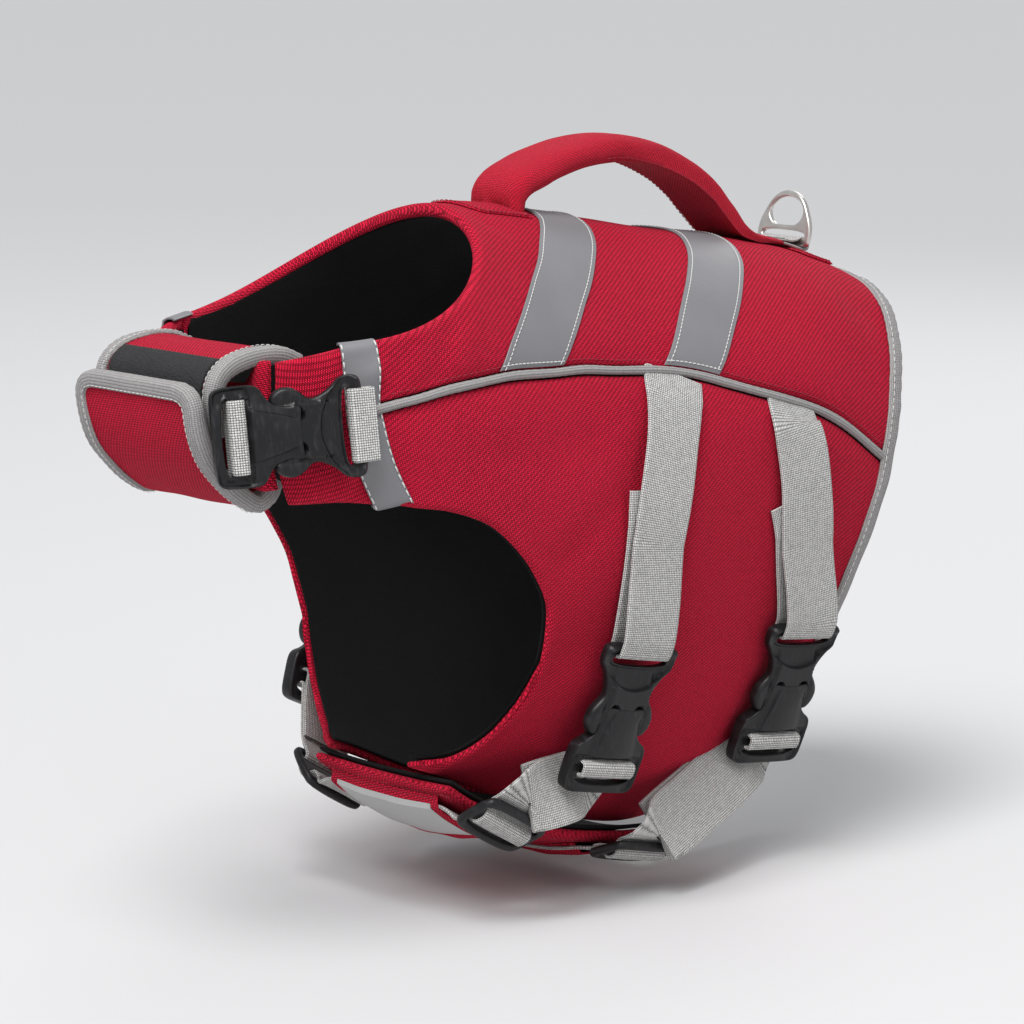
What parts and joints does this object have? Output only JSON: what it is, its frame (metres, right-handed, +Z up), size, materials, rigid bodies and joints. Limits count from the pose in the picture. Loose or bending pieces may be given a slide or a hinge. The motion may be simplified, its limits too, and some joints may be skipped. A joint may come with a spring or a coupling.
{
  "type": "dog life jacket",
  "caption": "Padded life jacket for a small dog, hollow in its worn shape, with a lift handle, a leash ring, side-release buckles and a wrap closed at the throat.",
  "frame": {"origin": "on the inside of the top of the back, where the dog's back carries the jacket", "axes": "head end -Y, tail end +Y, dog's left +X, +Z up"},
  "size_m": [0.1644, 0.345, 0.2714],
  "materials": {
    "red_cloth": "matt coarse weave",
    "black_lining": "matt brushed knit",
    "reflective_tape": "satin reflective tape",
    "silver_tape": "satin reflective tape",
    "grey_binding": "matt ribbed tape",
    "grey_webbing": "matt woven webbing",
    "black_plastic": "satin moulded",
    "steel": "polished"
  },
  "bodies": {
    "root": {"back_panel": "red_cloth", "back_panel_lining": "black_lining", "back_tape_front": "reflective_tape", "back_tape_rear": "reflective_tape", "belly_panel": "red_cloth", "belly_panel_lining": "black_lining", "belly_sleeve_front": "red_cloth", "belly_sleeve_rear": "red_cloth", "belly_stripe": "silver_tape", "buckle_female_front_left": "black_plastic", "buckle_female_front_right": "black_plastic", "buckle_female_neck": "black_plastic", "buckle_female_rear_left": "black_plastic", "buckle_female_rear_right": "black_plastic", "buckle_male_front_left": "black_plastic", "buckle_male_front_right": "black_plastic", "buckle_male_neck": "black_plastic", "buckle_male_rear_left": "black_plastic", "buckle_male_rear_right": "black_plastic", "d_ring": "steel", "d_ring_loop": "grey_webbing", "d_ring_tab": "red_cloth", "handle": "red_cloth", "handle_front_tab": "red_cloth", "loop_strip": "black_lining", "lower_strap_front_left": "grey_webbing", "lower_strap_front_right": "grey_webbing", "lower_strap_rear_left": "grey_webbing", "lower_strap_rear_right": "grey_webbing", "neck_arm_left": "red_cloth", "neck_arm_left_lining": "black_lining", "neck_arm_right": "red_cloth", "neck_arm_right_lining": "black_lining", "neck_band_left": "reflective_tape", "neck_band_right": "reflective_tape", "neck_loop_arm": "grey_webbing", "neck_loop_wrap": "grey_webbing", "piping_left": "grey_binding", "piping_right": "grey_binding", "rear_binding": "grey_binding", "side_panel_left": "red_cloth", "side_panel_left_lining": "black_lining", "side_panel_right": "red_cloth", "side_panel_right_lining": "black_lining", "throat_pad": "red_cloth", "tri_glide_front_left": "black_plastic", "tri_glide_front_right": "black_plastic", "tri_glide_rear_left": "black_plastic", "tri_glide_rear_right": "black_plastic", "upper_strap_front_left": "grey_webbing", "upper_strap_front_right": "grey_webbing", "upper_strap_rear_left": "grey_webbing", "upper_strap_rear_right": "grey_webbing", "wrap_outer_binding": "grey_binding", "wrap_outer_flap": "red_cloth", "wrap_top_binding_far": "grey_binding", "wrap_top_binding_near": "grey_binding", "wrap_top_flap": "red_cloth"}
  },
  "joints": []
}
